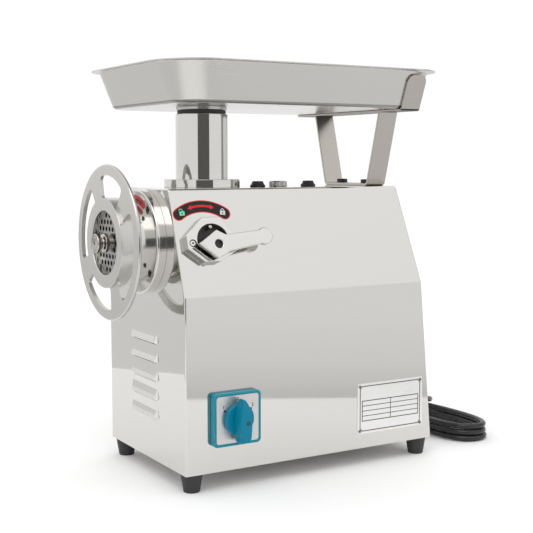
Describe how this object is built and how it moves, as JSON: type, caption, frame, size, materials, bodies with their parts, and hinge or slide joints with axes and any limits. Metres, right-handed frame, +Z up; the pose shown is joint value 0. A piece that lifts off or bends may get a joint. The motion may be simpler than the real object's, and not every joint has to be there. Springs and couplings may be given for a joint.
{
  "type": "electric meat grinder",
  "caption": "Bench meat grinder with a folded stainless housing, front hand wheel and cutting plate, feed throat, loading tray, rotary switch, lock lever and coiled cord.",
  "frame": {"origin": "on the resting surface under the middle of the machine, its supply cord left out", "axes": "+Z up, -X towards the hand wheel and cutting plate, -Y towards the switch and lever"},
  "size_m": [0.5515, 0.2846, 0.488],
  "materials": {
    "polished_sheet": "mirror-polished stainless sheet",
    "brushed_sheet": "satin stainless sheet",
    "bright_steel": "fine-turned stainless",
    "machine_iron": "painted casting",
    "black_rubber": "matt black rubber",
    "black_plastic": "satin black plastic",
    "teal_plastic": "teal moulded plastic",
    "face_print": "satin face plate",
    "engraved_plate": "satin engraved plate",
    "printed_label": "printed film"
  },
  "bodies": {
    "housing": {"barrel": "polished_sheet", "barrel_flange": "polished_sheet", "base_plate": "brushed_sheet", "bracket_screw_1": "black_plastic", "bracket_screw_2": "black_plastic", "cable_gland": "black_rubber", "cord_coil": "black_rubber", "cord_plug": "black_rubber", "cord_tail": "black_rubber", "cutting_plate": "bright_steel", "direction_label": "printed_label", "feed_throat": "polished_sheet", "flange_screw_1": "bright_steel", "flange_screw_2": "bright_steel", "flange_screw_3": "bright_steel", "flange_screw_4": "bright_steel", "foot_1": "black_rubber", "foot_2": "black_rubber", "foot_3": "black_rubber", "foot_4": "black_rubber", "gearbox_case": "machine_iron", "gearbox_cover": "machine_iron", "guide_screw": "bright_steel", "head_end_panel": "polished_sheet", "housing_wrap": "polished_sheet", "lever_guide_plate": "bright_steel", "lock_label": "printed_label", "motor_case": "machine_iron", "nameplate": "engraved_plate", "nameplate_screw_1": "bright_steel", "nameplate_screw_2": "bright_steel", "nameplate_screw_3": "bright_steel", "nameplate_screw_4": "bright_steel", "oil_filler_cap": "bright_steel", "plug_cap_1": "black_plastic", "plug_cap_2": "black_plastic", "rear_panel": "polished_sheet", "run_capacitor": "black_plastic", "stop_pin": "bright_steel", "supply_cord": "black_rubber", "switch_body": "black_plastic", "switch_face_plate": "face_print", "switch_frame": "teal_plastic", "throat_base_ring": "polished_sheet", "tray_bracket": "brushed_sheet", "tray_saddle": "brushed_sheet"},
    "auger_shaft": {"auger": "bright_steel", "knife": "bright_steel", "output_gear": "machine_iron"},
    "layshaft": {"intermediate_gear": "machine_iron"},
    "motor_shaft": {"motor_rotor": "machine_iron"},
    "ring_nut_and_wheel": {"ring_nut": "bright_steel", "hand_wheel": "bright_steel"},
    "lever": {"lever_hub": "bright_steel", "lock_lever": "bright_steel"},
    "knob": {"switch_knob": "teal_plastic"},
    "loading_tray": {"tray": "brushed_sheet", "tray_o_ring": "black_rubber"}
  },
  "joints": [
    {"name": "tray_lift", "type": "slide", "parent": "housing", "child": "loading_tray", "axis": [0, 0, 1], "range_m": [0, 0.06]},
    {"name": "ring_nut_turn", "type": "hinge", "parent": "housing", "child": "ring_nut_and_wheel", "pos_m": [-0.19364, 0, 0.2825], "axis": [1, 0, 0], "continuous": true},
    {"name": "auger_turn", "type": "hinge", "parent": "housing", "child": "auger_shaft", "pos_m": [-0.14764, 0, 0.2825], "axis": [1, 0, 0], "continuous": true},
    {"name": "layshaft_turn", "type": "hinge", "parent": "housing", "child": "layshaft", "pos_m": [0.00236, 0, 0.2185], "axis": [1, 0, 0], "continuous": true},
    {"name": "motor_turn", "type": "hinge", "parent": "housing", "child": "motor_shaft", "pos_m": [0.09236, 0, 0.1585], "axis": [1, 0, 0], "continuous": true},
    {"name": "lock_turn", "type": "hinge", "parent": "housing", "child": "lever", "pos_m": [-0.10494, -0.08909, 0.27877], "axis": [0, -0.9479, 0.3186], "range_deg": [0, 90]},
    {"name": "switch_turn", "type": "hinge", "parent": "housing", "child": "knob", "pos_m": [-0.08504, -0.117, 0.0835], "axis": [0, -1, 0], "range_deg": [-45, 45]}
  ],
  "couplings": [
    {"joint": "layshaft_turn", "follows": "auger_turn", "ratio": -3.5714},
    {"joint": "motor_turn", "follows": "auger_turn", "ratio": 14.286}
  ]
}
